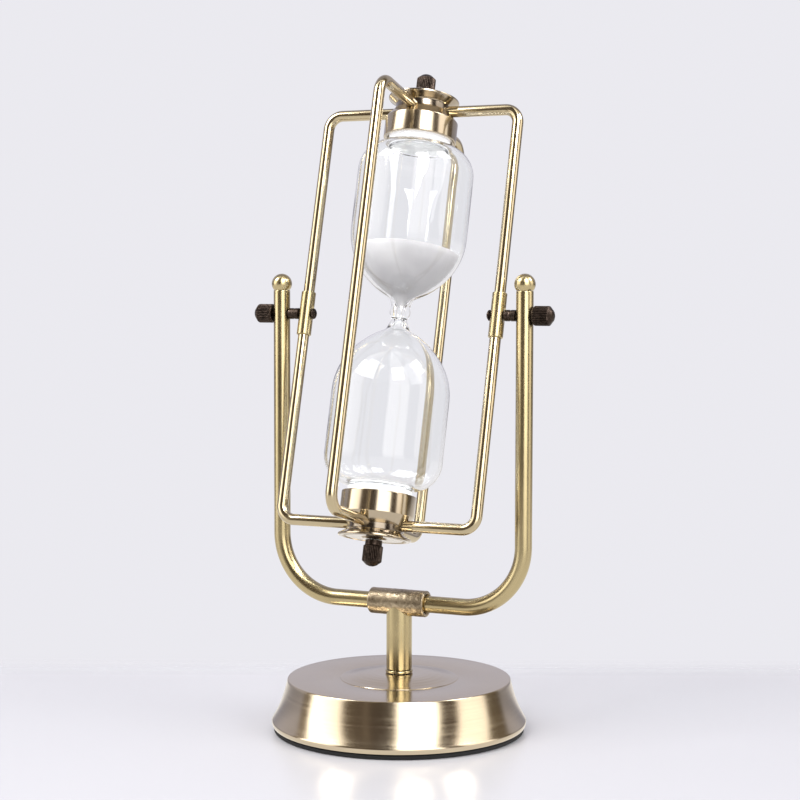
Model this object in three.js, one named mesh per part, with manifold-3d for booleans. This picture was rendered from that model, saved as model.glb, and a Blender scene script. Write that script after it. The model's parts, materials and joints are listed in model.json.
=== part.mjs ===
// A brass flip-over hourglass: a glass with white sand, held in a cage of bent rods that turns end
// over end on two screws, between the posts of a U-shaped yoke on a round weighted base.
// Millimetres, +Z up. X runs along the turning axis and the front is towards -Y. The origin is at
// the centre of the base's underside. The cage stands with its top leaning back.
import * as THREE from "three";
import { mergeVertices } from "three/addons/utils/BufferGeometryUtils.js";
import Module from "manifold-3d";

// Driving dimensions.
const GAP = 0.3; // left between neighbouring pieces
const BASE_RADIUS = 57;
const BASE_TOP_RADIUS = 49.7;
const BASE_TOP_Z = 23.1;
const DOME_RADIUS = 26.5;
const DOME_RISE = 2.2;
const PAD_THICKNESS = 1.8;
const PAD_RADIUS = 56;
const SHELL_WALL = 1.2;
const STEM_RADIUS = 5.75;
const STEM_WASHER_THICKNESS = 1.2;
const TUBE_RADIUS = 3.75;
const TUBE_BORE_RADIUS = 2.75;
const TUBE_LOW_Z = 57.1; // centre line of the yoke's level stretch
const TUBE_BEND_RADIUS = 28;
const TUBE_TOP_Z = 196.3;
const POST_X = 59; // centre line of each post
const BALL_RADIUS = 4.6;
const BALL_SEAT = 2.8; // from the ball's centre down to the end of the post
const COLLAR_RADIUS = 5.9;
const COLLAR_LENGTH = 27;
const PIVOT_Z = 185.6;
const CAGE_LEAN = THREE.MathUtils.degToRad(15.3);
const CAGE_HALF_HEIGHT = 94; // from the turning axis to the plane of the radial rods
const CAGE_RADIUS = 46.5; // from the glass's axis to each upright rod
const ROD_RADIUS = 2.5;
const HALF_ROD_BEND_RADIUS = 6.3;
const FULL_ROD_BEND_RADIUS = 7.6;
const HUB_RADIUS = 12.4;
const HUB_HALF = 2.8;
const CUP_RADIUS = 16.4;
const CUP_BORE_RADIUS = 14.6;
const CUP_RIM = 13.4; // from the rods' plane to the cup's rim
const CUP_FLOOR = 5.9;
const CUP_CHAMFER_FROM = 4.2; // from the rods' plane back to where the cup's wall turns in
const FLANGE_RADIUS = 16;
const FLANGE_FACE = 6.3; // from the rods' plane to the flange's outer face
const BOSS_FACE = 6.6;
const GLASS_RADIUS = 26;
const GLASS_WALL = 1.2;
const GLASS_NECK_RADIUS = 13.2;
const GLASS_WAIST_RADIUS = 4.4;
const WAIST_HALF = 4.4; // from the middle of the glass to each end of its straight waist
const THROAT_RADIUS = 7.2; // where the waist opens into the dome of a bulb
const THROAT_Z = 8.4;
const GLASS_ORIFICE_RADIUS = 1.3;
const ORIFICE_HALF = 2.2;
const GLASS_END_Z = 84.7; // from the middle of the glass to each flat end
const DOME_TOP_Z = 37; // where the dome meets the bulb's straight wall
const SHOULDER_Z = 65;
const SHOULDER_RADIUS = GLASS_RADIUS - GLASS_NECK_RADIUS;
const FILL_HOLE_RADIUS = 3;
const SAND_TOP_Z = 28.5;
const SAND_DIP = 5;
const SLEEVE_RADIUS = 3.25;
const SLEEVE_LENGTH = 20;
const SCREW_RADIUS = 1.4;
const SCREW_HOLE_RADIUS = 1.75;
const SCREW_HEAD_RADIUS = 2.4;
const SPACER_RADIUS = 2.5;
const NUT_RADIUS = 4.3;
const NUT_KNURL_LENGTH = 6.5;
const NUT_TIP_LENGTH = 2.2;
const CAP_NUT_COLLAR = 2.2;
const THUMB_NUT_COLLAR = 0.3;

// How finely round things are cut.
const BASE_SIDES = 40;
const CAP_SIDES = 28;
const GLASS_SIDES = 24;
const SMALL_SIDES = 16;
const ROD_SIDES = 10;
const BEND_STEPS = 6;

const wasm = await Module();
wasm.setup();

// Booleans on closed meshes.
function toSolid(geometry) {
  const bare = geometry.index ? geometry.toNonIndexed() : geometry.clone();
  bare.deleteAttribute("normal");
  bare.deleteAttribute("uv");
  const merged = mergeVertices(bare, 1e-4);
  return new wasm.Manifold(
    new wasm.Mesh({
      numProp: 3,
      vertProperties: merged.attributes.position.array,
      triVerts: new Uint32Array(merged.index.array),
    }),
  );
}

function toGeometry(solid) {
  const { vertProperties, triVerts } = solid.getMesh();
  const geometry = new THREE.BufferGeometry();
  geometry.setAttribute("position", new THREE.BufferAttribute(vertProperties, 3));
  geometry.setIndex(new THREE.BufferAttribute(triVerts, 1));
  geometry.computeVertexNormals();
  return geometry;
}

function cut(body, ...tools) {
  return toGeometry(tools.reduce((solid, tool) => solid.subtract(toSolid(tool)), toSolid(body)));
}

// Turns a profile of [radius, z] points about Z. A profile that doesn't touch the axis is closed.
function turned(points, sides) {
  const profile = points.map(([r, z]) => new THREE.Vector2(r, z));
  const onAxis = profile[0].x === 0 && profile.at(-1).x === 0;
  const area = THREE.ShapeUtils.area(profile);
  if (area < 0) profile.reverse();
  if (!onAxis) profile.push(profile[0].clone());
  return new THREE.LatheGeometry(profile, sides).rotateX(Math.PI / 2);
}

function arc(r, z, radius, fromDeg, toDeg, steps) {
  return Array.from({ length: steps + 1 }, (_, i) => {
    const angle = THREE.MathUtils.degToRad(fromDeg + ((toDeg - fromDeg) * i) / steps);
    return [r + radius * Math.cos(angle), z + radius * Math.sin(angle)];
  });
}

function bezier(points, steps) {
  const curve = new THREE.CubicBezierCurve(...points.map(([x, y]) => new THREE.Vector2(x, y)));
  return curve.getPoints(steps).map(({ x, y }) => [x, y]);
}

function cylinder(radius, from, to, sides = SMALL_SIDES) {
  return turned([[0, from], [radius, from], [radius, to], [0, to]], sides);
}

// A path of straight stretches and round bends in the XZ plane, with a station at each end of a
// stretch and BEND_STEPS stations round each bend.
class BentPath extends THREE.Curve {
  constructor(corners, bendRadius) {
    super();
    const points = corners.map(([x, z]) => new THREE.Vector3(x, 0, z));
    const last = points.length - 1;
    this.stations = [{ at: points[0], along: points[1].clone().sub(points[0]).normalize() }];
    for (let i = 1; i < last; i++) this.addBend(points[i - 1], points[i], points[i + 1], bendRadius);
    this.stations.push({
      at: points[last],
      along: points[last].clone().sub(points[last - 1]).normalize(),
    });
  }

  addBend(before, corner, after, radius) {
    const into = corner.clone().sub(before).normalize();
    const out = after.clone().sub(corner).normalize();
    const angle = into.angleTo(out);
    const start = corner.clone().addScaledVector(into, -radius * Math.tan(angle / 2));
    const axis = into.clone().cross(out).normalize();
    const toCentre = axis.clone().cross(into).multiplyScalar(radius);
    const centre = start.clone().add(toCentre);
    for (let i = 0; i <= BEND_STEPS; i++) {
      const turn = (angle * i) / BEND_STEPS;
      const spoke = toCentre.clone().negate().applyAxisAngle(axis, turn);
      this.stations.push({
        at: centre.clone().add(spoke),
        along: into.clone().applyAxisAngle(axis, turn),
      });
    }
  }

  get steps() {
    return this.stations.length - 1;
  }

  getPoint(t, target = new THREE.Vector3()) {
    return target.copy(this.stations[Math.round(t * this.steps)].at);
  }

  getPointAt(u, target) {
    return this.getPoint(u, target);
  }

  getSpacedPoints() {
    return this.stations.map(({ at }) => at.clone());
  }

  getTangentAt(u, target = new THREE.Vector3()) {
    return target.copy(this.stations[Math.round(u * this.steps)].along);
  }
}

function bentRod(corners, bendRadius, radius, sides) {
  const extrudePath = new BentPath(corners, bendRadius);
  const section = new THREE.Shape().absarc(0, 0, radius, 0, 2 * Math.PI);
  return new THREE.ExtrudeGeometry(section, {
    steps: extrudePath.steps,
    curveSegments: sides / 2, // a full circle gets two points per segment
    extrudePath,
  });
}

const FINISHES = {
  satin_brass: { color: 0xb5a287, roughness: 0.34, metalness: 1 },
  brushed_brass: { color: 0xa98f5c, roughness: 0.3, metalness: 1 },
  polished_brass: { color: 0xb89c6a, roughness: 0.18, metalness: 1 },
  dark_bronze: { color: 0x3b2f28, roughness: 0.42, metalness: 1 },
  aged_bronze: { color: 0x6e5a3e, roughness: 0.5, metalness: 1 },
  clear_glass: { color: 0xffffff, roughness: 0.02, metalness: 0, transparent: true, opacity: 0.3 },
  white_sand: { color: 0xe9e6e4, roughness: 0.95, metalness: 0 },
  white_foam: { color: 0xe4e4e6, roughness: 0.9, metalness: 0 },
  black_foam: { color: 0x111111, roughness: 0.95, metalness: 0 },
  cast_iron: { color: 0x3a3a3a, roughness: 0.8, metalness: 0.6 },
  zinc_steel: { color: 0xa9abad, roughness: 0.35, metalness: 1 },
};

function piece(name, geometry, finish) {
  const mesh = new THREE.Mesh(geometry, new THREE.MeshStandardMaterial(FINISHES[finish]));
  mesh.name = name;
  return mesh;
}

// Base.
const WEIGHT_BOTTOM_Z = PAD_THICKNESS + GAP;
const WEIGHT_TOP_Z = 19;
const BOLT_RADIUS = 3;
const BOLT_HOLE_RADIUS = 3.4;
const BOLT_HEAD_RADIUS = 5.6;
const BOLT_HEAD_HEIGHT = 4;
const BOLT_HEAD_TOP_Z = WEIGHT_BOTTOM_Z + 5;
const BOLT_REACH = 14; // how far the bolt runs up into the stem
const POCKET_RADIUS = 10;
const POCKET_DEPTH = 7;
const WASHER_RADIUS = 9;
const WASHER_THICKNESS = 1.4;
const FOOT_RADIUS = 9; // the flat at the top of the dome
const FOOT_Z = BASE_TOP_Z + DOME_RISE;
const LIP_Z = 4.6; // where the skirt is widest
const RIM_ROUNDING = 0.8; // along the skirt's top edge

function baseShell() {
  const lip = [
    [BASE_RADIUS - 0.8, WEIGHT_BOTTOM_Z],
    [BASE_RADIUS - 0.2, WEIGHT_BOTTOM_Z + 1],
  ];
  const flare = bezier(
    [
      [BASE_RADIUS, LIP_Z],
      [BASE_RADIUS - 3.3, LIP_Z + 5.4],
      [BASE_TOP_RADIUS + 2.4, BASE_TOP_Z - 9.1],
      [BASE_TOP_RADIUS + 0.3, BASE_TOP_Z - 0.9],
    ],
    6,
  );
  const edge = arc(BASE_TOP_RADIUS - 0.6, BASE_TOP_Z - RIM_ROUNDING, RIM_ROUNDING, 20, 90, 2);
  const dome = bezier(
    [
      [DOME_RADIUS, BASE_TOP_Z],
      [DOME_RADIUS - 5, BASE_TOP_Z + 0.2],
      [FOOT_RADIUS + 8, FOOT_Z],
      [FOOT_RADIUS, FOOT_Z],
    ],
    4,
  );
  const inside = [
    [BOLT_HOLE_RADIUS, FOOT_Z],
    [BOLT_HOLE_RADIUS, FOOT_Z - SHELL_WALL],
    [FOOT_RADIUS, FOOT_Z - SHELL_WALL],
    [DOME_RADIUS - 2, BASE_TOP_Z - SHELL_WALL],
    [BASE_TOP_RADIUS - 1.4, BASE_TOP_Z - SHELL_WALL],
    [BASE_RADIUS - 5.4, LIP_Z + 8.4],
    [BASE_RADIUS - SHELL_WALL - 0.2, LIP_Z + 0.4],
    [BASE_RADIUS - SHELL_WALL - 1, WEIGHT_BOTTOM_Z + 0.2],
  ];
  return turned([...lip, ...flare, ...edge, ...dome, ...inside], BASE_SIDES);
}

function baseWeight() {
  return turned(
    [
      [POCKET_RADIUS, WEIGHT_BOTTOM_Z],
      [BASE_RADIUS - 4, WEIGHT_BOTTOM_Z],
      [BASE_TOP_RADIUS - 2, WEIGHT_TOP_Z],
      [BOLT_HOLE_RADIUS, WEIGHT_TOP_Z],
      [BOLT_HOLE_RADIUS, WEIGHT_BOTTOM_Z + POCKET_DEPTH],
      [POCKET_RADIUS, WEIGHT_BOTTOM_Z + POCKET_DEPTH],
    ],
    CAP_SIDES,
  );
}

function baseBolt() {
  const head = cylinder(BOLT_HEAD_RADIUS, BOLT_HEAD_TOP_Z - BOLT_HEAD_HEIGHT, BOLT_HEAD_TOP_Z, 6);
  const shank = cylinder(BOLT_RADIUS, BOLT_HEAD_TOP_Z - 1, FOOT_Z + BOLT_REACH, ROD_SIDES);
  return toGeometry(toSolid(head).add(toSolid(shank)));
}

function baseWasher() {
  const from = BOLT_HEAD_TOP_Z + GAP;
  const to = from + WASHER_THICKNESS;
  return turned(
    [[BOLT_HOLE_RADIUS, from], [WASHER_RADIUS, from], [WASHER_RADIUS, to], [BOLT_HOLE_RADIUS, to]],
    SMALL_SIDES,
  );
}

function stemWasher() {
  const from = FOOT_Z + GAP;
  const to = from + STEM_WASHER_THICKNESS;
  return turned(
    [[BOLT_HOLE_RADIUS, from], [STEM_RADIUS, from], [STEM_RADIUS, to], [BOLT_HOLE_RADIUS, to]],
    SMALL_SIDES,
  );
}

// A grub screw from inside the stem's top, through the collar's wall, onto the yoke's tube.
const GRUB_RADIUS = 1.6;
const GRUB_HOLE_RADIUS = 2;
const GRUB_FROM = TUBE_LOW_Z - COLLAR_RADIUS - 4;

function collarScrew() {
  return cylinder(GRUB_RADIUS, GRUB_FROM, TUBE_LOW_Z - TUBE_RADIUS - GAP, ROD_SIDES);
}

function stem() {
  const from = FOOT_Z + STEM_WASHER_THICKNESS + 2 * GAP;
  const post = cylinder(STEM_RADIUS, from, TUBE_LOW_Z, 24);
  const boltHole = cylinder(BOLT_HOLE_RADIUS, from - 1, FOOT_Z + BOLT_REACH + 2, ROD_SIDES);
  const grubHole = cylinder(GRUB_HOLE_RADIUS, GRUB_FROM - 1, TUBE_LOW_Z, ROD_SIDES);
  const saddle = cylinder(COLLAR_RADIUS + GAP, -COLLAR_LENGTH, COLLAR_LENGTH, CAP_SIDES)
    .rotateY(Math.PI / 2)
    .translate(0, 0, TUBE_LOW_Z);
  return cut(post, boltHole, grubHole, saddle);
}

// Yoke.
function yokeCollar() {
  const half = COLLAR_LENGTH / 2;
  const bore = TUBE_RADIUS + GAP;
  const mouth = COLLAR_RADIUS - 1;
  const mouthDepth = 3;
  const chamfer = 0.3;
  const profile = [
    [mouth, -half],
    [COLLAR_RADIUS - chamfer, -half],
    [COLLAR_RADIUS, -half + chamfer],
    [COLLAR_RADIUS, half - chamfer],
    [COLLAR_RADIUS - chamfer, half],
    [mouth, half],
    [mouth, half - mouthDepth],
    [bore, half - mouthDepth],
    [bore, -half + mouthDepth],
    [mouth, -half + mouthDepth],
  ];
  const sleeve = turned(profile, 24).rotateY(Math.PI / 2).translate(0, 0, TUBE_LOW_Z);
  return cut(sleeve, cylinder(GRUB_HOLE_RADIUS, GRUB_FROM, TUBE_LOW_Z, ROD_SIDES));
}

function yokeTube() {
  const route = (top) => [
    [-POST_X, top],
    [-POST_X, TUBE_LOW_Z],
    [POST_X, TUBE_LOW_Z],
    [POST_X, top],
  ];
  const outside = bentRod(route(TUBE_TOP_Z), TUBE_BEND_RADIUS, TUBE_RADIUS, 16);
  const bore = bentRod(route(TUBE_TOP_Z + 1), TUBE_BEND_RADIUS, TUBE_BORE_RADIUS, ROD_SIDES);
  const pivotHole = cylinder(SCREW_HOLE_RADIUS, -2 * POST_X, 2 * POST_X, ROD_SIDES)
    .rotateY(Math.PI / 2)
    .translate(0, 0, PIVOT_Z);
  return cut(outside, bore, pivotHole);
}

function ballFinial() {
  const seatAngle = THREE.MathUtils.radToDeg(Math.asin(BALL_SEAT / BALL_RADIUS));
  const spigot = TUBE_BORE_RADIUS - GAP;
  const spigotEnd = -9;
  const round = arc(0, 0, BALL_RADIUS, -seatAngle + 3, 90, 6);
  round[round.length - 1][0] = 0;
  return turned(
    [[0, spigotEnd], [spigot, spigotEnd], [spigot, -BALL_SEAT + GAP], ...round],
    SMALL_SIDES,
  );
}

// Pivots. Each runs outwards along +X from the turning axis's middle.
const SLEEVE_INSIDE_X = CAGE_RADIUS - SLEEVE_RADIUS;
const SLEEVE_OUTSIDE_X = CAGE_RADIUS + SLEEVE_RADIUS;
const NUT_SEAT_X = POST_X + TUBE_RADIUS + GAP;

function alongX(geometry) {
  return geometry.rotateY(Math.PI / 2);
}

function pivotScrew() {
  const seat = SLEEVE_INSIDE_X - GAP;
  const end = NUT_SEAT_X + 6;
  return alongX(
    turned(
      [
        [0, seat - 1.3],
        [1.3, seat - 1.2],
        [SCREW_HEAD_RADIUS - 0.3, seat - 0.8],
        [SCREW_HEAD_RADIUS, seat],
        [SCREW_RADIUS, seat],
        [SCREW_RADIUS, end],
        [0, end],
      ],
      ROD_SIDES,
    ),
  );
}

function spacer() {
  const from = SLEEVE_OUTSIDE_X + GAP;
  const to = POST_X - TUBE_RADIUS - GAP;
  return alongX(
    turned(
      [[SCREW_HOLE_RADIUS, from], [SPACER_RADIUS, from], [SPACER_RADIUS, to], [SCREW_HOLE_RADIUS, to]],
      ROD_SIDES,
    ),
  );
}

// A thumb nut standing on z = 0: a plain collar, a knurled grip and a blunt cone, bored from below.
function thumbNut(collar) {
  const bore = SCREW_HOLE_RADIUS;
  const boreEnd = 7;
  const collarRadius = NUT_RADIUS - 0.6;
  const knurlFrom = collar + 0.4;
  const knurlTo = knurlFrom + NUT_KNURL_LENGTH;
  const tip = knurlTo + NUT_TIP_LENGTH;
  return turned(
    [
      [0, boreEnd],
      [bore, boreEnd],
      [bore, 0],
      [collarRadius, 0],
      [collarRadius, collar],
      [NUT_RADIUS, knurlFrom],
      [NUT_RADIUS, knurlTo],
      [2.1, tip - 0.5],
      [1.1, tip - 0.1],
      [0, tip],
    ],
    20,
  );
}

function pivotSleeve() {
  const half = SLEEVE_LENGTH / 2;
  const bore = ROD_RADIUS + GAP;
  const tube = turned([[bore, -half], [SLEEVE_RADIUS, -half], [SLEEVE_RADIUS, half], [bore, half]], 16);
  const cross = cylinder(SCREW_HOLE_RADIUS, -2 * SLEEVE_RADIUS, 2 * SLEEVE_RADIUS, ROD_SIDES)
    .rotateY(Math.PI / 2);
  return cut(tube, cross);
}

// Cage rods, in the XZ plane of the cage, on its +X side.
const ROD_START = HUB_RADIUS + GAP;

function fullRod() {
  const corners = [
    [ROD_START, CAGE_HALF_HEIGHT],
    [CAGE_RADIUS, CAGE_HALF_HEIGHT],
    [CAGE_RADIUS, -CAGE_HALF_HEIGHT],
    [ROD_START, -CAGE_HALF_HEIGHT],
  ];
  return bentRod(corners, FULL_ROD_BEND_RADIUS, ROD_RADIUS, ROD_SIDES);
}

function halfRod() {
  const corners = [
    [ROD_START, CAGE_HALF_HEIGHT],
    [CAGE_RADIUS, CAGE_HALF_HEIGHT],
    [CAGE_RADIUS, SCREW_HOLE_RADIUS + GAP],
  ];
  return bentRod(corners, HALF_ROD_BEND_RADIUS, ROD_RADIUS, ROD_SIDES);
}

// Cap pieces, with z = 0 in the rods' plane and +Z away from the glass.
function hub() {
  return turned(
    [
      [SCREW_HOLE_RADIUS, -HUB_HALF],
      [HUB_RADIUS, -HUB_HALF],
      [HUB_RADIUS, HUB_HALF],
      [SCREW_HOLE_RADIUS, HUB_HALF],
    ],
    CAP_SIDES,
  );
}

// The cup's chamfered shoulder stands round the hub and is notched where the four rods pass.
function cup() {
  const recess = HUB_RADIUS + GAP;
  const recessFloor = -HUB_HALF - GAP;
  const crest = 0.2;
  const body = turned(
    [
      [SCREW_HOLE_RADIUS, recessFloor],
      [recess, recessFloor],
      [recess, crest],
      [recess + 0.3, crest],
      [CUP_RADIUS, -CUP_CHAMFER_FROM],
      [CUP_RADIUS, -CUP_RIM + 0.7],
      [CUP_RADIUS - 0.5, -CUP_RIM],
      [CUP_BORE_RADIUS + 0.4, -CUP_RIM],
      [CUP_BORE_RADIUS, -CUP_RIM + 0.5],
      [CUP_BORE_RADIUS, -CUP_FLOOR],
      [SCREW_HOLE_RADIUS, -CUP_FLOOR],
    ],
    CAP_SIDES,
  );
  const notch = () => cylinder(ROD_RADIUS + GAP, -CUP_RADIUS - 1, CUP_RADIUS + 1, ROD_SIDES);
  const alongHubX = notch().rotateY(Math.PI / 2);
  const alongHubY = notch().rotateX(Math.PI / 2);
  return cut(body, alongHubX, alongHubY);
}

// The flange's face carries a shallow groove and, in the middle, a low boss under the thumb nut.
function flange() {
  const bottom = HUB_HALF + GAP;
  const groove = FLANGE_FACE - 0.6;
  const grooveOutside = FLANGE_RADIUS - 1.8;
  const grooveInside = HUB_RADIUS;
  const bossRadius = 5;
  return turned(
    [
      [SCREW_HOLE_RADIUS, bottom],
      [HUB_RADIUS, bottom],
      [HUB_RADIUS + 0.6, bottom + 0.5],
      [FLANGE_RADIUS, FLANGE_FACE - 0.9],
      [FLANGE_RADIUS, FLANGE_FACE - 0.4],
      [FLANGE_RADIUS - 0.6, FLANGE_FACE],
      [grooveOutside, FLANGE_FACE],
      [grooveOutside - 0.3, groove],
      [grooveInside + 0.3, groove],
      [grooveInside, FLANGE_FACE],
      [bossRadius + 0.4, FLANGE_FACE],
      [bossRadius, BOSS_FACE],
      [SCREW_HOLE_RADIUS, BOSS_FACE],
    ],
    CAP_SIDES,
  );
}

function capScrew() {
  const seat = -CUP_FLOOR - GAP;
  const end = BOSS_FACE + GAP + 6;
  const headRadius = 3.1;
  const headEnd = seat - 1.6;
  return turned(
    [
      [0, headEnd],
      [headRadius - 0.5, headEnd],
      [headRadius, headEnd + 0.6],
      [headRadius, seat],
      [SCREW_RADIUS, seat],
      [SCREW_RADIUS, end],
      [0, end],
    ],
    ROD_SIDES,
  );
}

// Foam between the glass's end and the cup's floor, with a skirt round the glass's neck.
function endPad() {
  const glassEnd = GLASS_END_Z - CAGE_HALF_HEIGHT + GAP;
  const skirtEnd = SHOULDER_Z + SHOULDER_RADIUS - CAGE_HALF_HEIGHT + 2 * GAP;
  const top = -CUP_FLOOR - GAP;
  const skirt = GLASS_NECK_RADIUS + GAP;
  const outside = CUP_BORE_RADIUS - 0.7;
  const hole = 3.6;
  return turned(
    [
      [hole, glassEnd],
      [skirt, glassEnd],
      [skirt, skirtEnd],
      [outside, skirtEnd],
      [outside, top],
      [hole, top],
    ],
    CAP_SIDES,
  );
}

// The glass, a curve from the waist to one flat end. inset moves it in from the outside surface,
// and start is the [radius, z] that it leaves the waist at.
function glassCurve(inset, start, end) {
  const radius = GLASS_RADIUS - inset;
  const neck = GLASS_NECK_RADIUS - inset;
  const shoulder = SHOULDER_RADIUS - inset;
  const throat = [THROAT_RADIUS - 0.85 * inset, THROAT_Z + 0.42 * inset];
  const funnel = bezier(
    [
      start,
      [start[0] + 0.2 + 0.6 * inset, start[1] + 2],
      [throat[0] - 1.6, throat[1] - 0.8],
      throat,
    ],
    3,
  );
  const dome = bezier(
    [
      throat,
      [throat[0] + 7, throat[1] + 3.5 + 0.4 * inset],
      [radius, DOME_TOP_Z - 15.5 + 0.4 * inset],
      [radius, DOME_TOP_Z],
    ],
    7,
  );
  return [
    ...funnel,
    ...dome.slice(1),
    ...arc(GLASS_NECK_RADIUS, SHOULDER_Z, shoulder, 0, 85, 4),
    [neck, SHOULDER_Z + shoulder + GAP],
    [neck, end],
  ];
}

function bulb(fillHole) {
  const waist = GAP / 2;
  const innerEnd = GLASS_END_Z - GLASS_WALL;
  return turned(
    [
      [fillHole, innerEnd],
      ...glassCurve(GLASS_WALL, [GLASS_ORIFICE_RADIUS, ORIFICE_HALF], innerEnd).reverse(),
      [GLASS_ORIFICE_RADIUS, waist],
      [GLASS_WAIST_RADIUS, waist],
      ...glassCurve(0, [GLASS_WAIST_RADIUS, WAIST_HALF], GLASS_END_Z),
      [fillHole, GLASS_END_Z],
    ],
    GLASS_SIDES,
  );
}

function fillPlug() {
  const outside = GLASS_END_Z + GAP;
  const inside = GLASS_END_Z - GLASS_WALL - 1.5;
  const radius = FILL_HOLE_RADIUS - GAP;
  const head = outside + 1;
  return turned([[0, inside], [radius - 0.5, inside], [radius, head], [0, head]], ROD_SIDES);
}

function sand() {
  const start = [GLASS_ORIFICE_RADIUS - GAP, ORIFICE_HALF + GAP];
  const surface = glassCurve(GLASS_WALL + GAP, start, GLASS_END_Z);
  const wall = surface.filter(([, z]) => z < SAND_TOP_Z - 1);
  const rim = [wall.at(-1)[0] + 0.9, SAND_TOP_Z];
  return turned([[0, wall[0][1]], ...wall, rim, [0, SAND_TOP_Z - SAND_DIP]], GLASS_SIDES);
}

// Assembly.
const hourglass = new THREE.Group();

hourglass.add(
  piece("base_pad", cylinder(PAD_RADIUS, 0, PAD_THICKNESS, BASE_SIDES), "black_foam"),
  piece("base_shell", baseShell(), "satin_brass"),
  piece("base_weight", baseWeight(), "cast_iron"),
  piece("base_bolt", baseBolt(), "zinc_steel"),
  piece("base_washer", baseWasher(), "zinc_steel"),
  piece("stem_washer", stemWasher(), "brushed_brass"),
  piece("stem", stem(), "brushed_brass"),
  piece("collar_screw", collarScrew(), "zinc_steel"),
  piece("yoke_collar", yokeCollar(), "aged_bronze"),
  piece("yoke_tube", yokeTube(), "brushed_brass"),
);

const cage = new THREE.Group();
cage.position.z = PIVOT_Z;
cage.rotation.x = -CAGE_LEAN;
hourglass.add(cage);

for (const [side, turn] of [["right", 0], ["left", Math.PI]]) {
  const ball = piece(side + "_ball_finial", ballFinial(), "brushed_brass");
  ball.position.set(POST_X * Math.cos(turn), 0, TUBE_TOP_Z + BALL_SEAT);

  const pivot = new THREE.Group();
  pivot.position.z = PIVOT_Z;
  pivot.rotation.z = turn;
  const nut = piece(side + "_thumb_nut", alongX(thumbNut(THUMB_NUT_COLLAR)), "dark_bronze");
  nut.position.x = NUT_SEAT_X;
  pivot.add(
    piece(side + "_pivot_screw", pivotScrew(), "dark_bronze"),
    piece(side + "_spacer", spacer(), "dark_bronze"),
    nut,
  );
  hourglass.add(ball, pivot);

  const rods = new THREE.Group();
  rods.rotation.z = turn;
  const sleeve = piece(side + "_pivot_sleeve", pivotSleeve(), "brushed_brass");
  sleeve.position.x = CAGE_RADIUS;
  const lower = piece(side + "_lower_rod", halfRod(), "polished_brass");
  lower.rotation.x = Math.PI;
  rods.add(sleeve, piece(side + "_upper_rod", halfRod(), "polished_brass"), lower);
  cage.add(rods);
}

for (const [side, turn] of [["back", Math.PI / 2], ["front", -Math.PI / 2]]) {
  const rod = piece(side + "_rod", fullRod(), "polished_brass");
  rod.rotation.z = turn;
  cage.add(rod);
}

for (const [end, turn] of [["top", 0], ["bottom", Math.PI]]) {
  const cap = new THREE.Group();
  cap.rotation.x = turn;
  cap.position.z = CAGE_HALF_HEIGHT * Math.cos(turn);
  const nut = piece(end + "_cap_nut", thumbNut(CAP_NUT_COLLAR), "dark_bronze");
  nut.position.z = BOSS_FACE + GAP;
  cap.add(
    piece(end + "_hub", hub(), "satin_brass"),
    piece(end + "_cup", cup(), "satin_brass"),
    piece(end + "_flange", flange(), "satin_brass"),
    piece(end + "_cap_screw", capScrew(), "zinc_steel"),
    piece(end + "_pad", endPad(), "white_foam"),
    nut,
  );
  cage.add(cap);
}

const lowerBulb = piece("lower_bulb", bulb(0), "clear_glass");
lowerBulb.rotation.x = Math.PI;

cage.add(
  piece("upper_bulb", bulb(FILL_HOLE_RADIUS), "clear_glass"),
  lowerBulb,
  piece("fill_plug", fillPlug(), "white_foam"),
  piece("sand", sand(), "white_sand"),
);

export default hourglass;
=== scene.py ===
"""A brass flip-over hourglass: fine meshes, materials, lights and camera for the CAD frame."""
import json
import math

import bpy
from mathutils import Matrix, Vector, noise

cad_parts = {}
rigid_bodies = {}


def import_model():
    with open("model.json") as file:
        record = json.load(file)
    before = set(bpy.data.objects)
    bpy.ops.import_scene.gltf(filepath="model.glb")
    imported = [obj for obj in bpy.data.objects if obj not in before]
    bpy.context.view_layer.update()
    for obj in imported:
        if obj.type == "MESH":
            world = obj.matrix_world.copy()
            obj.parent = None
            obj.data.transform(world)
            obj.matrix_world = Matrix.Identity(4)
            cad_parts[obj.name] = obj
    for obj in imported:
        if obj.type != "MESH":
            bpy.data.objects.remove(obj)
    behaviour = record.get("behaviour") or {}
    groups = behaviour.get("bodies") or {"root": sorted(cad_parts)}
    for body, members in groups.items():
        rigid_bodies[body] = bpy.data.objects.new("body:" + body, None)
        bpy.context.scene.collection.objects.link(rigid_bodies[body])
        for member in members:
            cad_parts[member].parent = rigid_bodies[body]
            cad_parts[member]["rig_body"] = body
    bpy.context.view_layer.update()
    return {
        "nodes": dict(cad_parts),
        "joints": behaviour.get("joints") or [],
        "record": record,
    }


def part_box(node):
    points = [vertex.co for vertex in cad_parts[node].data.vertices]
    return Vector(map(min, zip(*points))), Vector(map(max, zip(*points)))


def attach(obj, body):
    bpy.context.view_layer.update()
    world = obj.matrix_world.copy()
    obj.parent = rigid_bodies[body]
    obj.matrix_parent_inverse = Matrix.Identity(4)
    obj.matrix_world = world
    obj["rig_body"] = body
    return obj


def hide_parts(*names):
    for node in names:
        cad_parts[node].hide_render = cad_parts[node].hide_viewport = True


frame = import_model()

MM = 0.001
NODES = frame["nodes"]
SLOTS = {part["node"]: part["material_slot"] for part in frame["record"]["subparts"]}
JOINTS = {joint["name"]: joint for joint in frame["joints"]}

# ------------------------------------------------------------------------------------------
# Places. Turned pieces have their axis along local Z, and bent rods lie in the local XZ plane.

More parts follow.
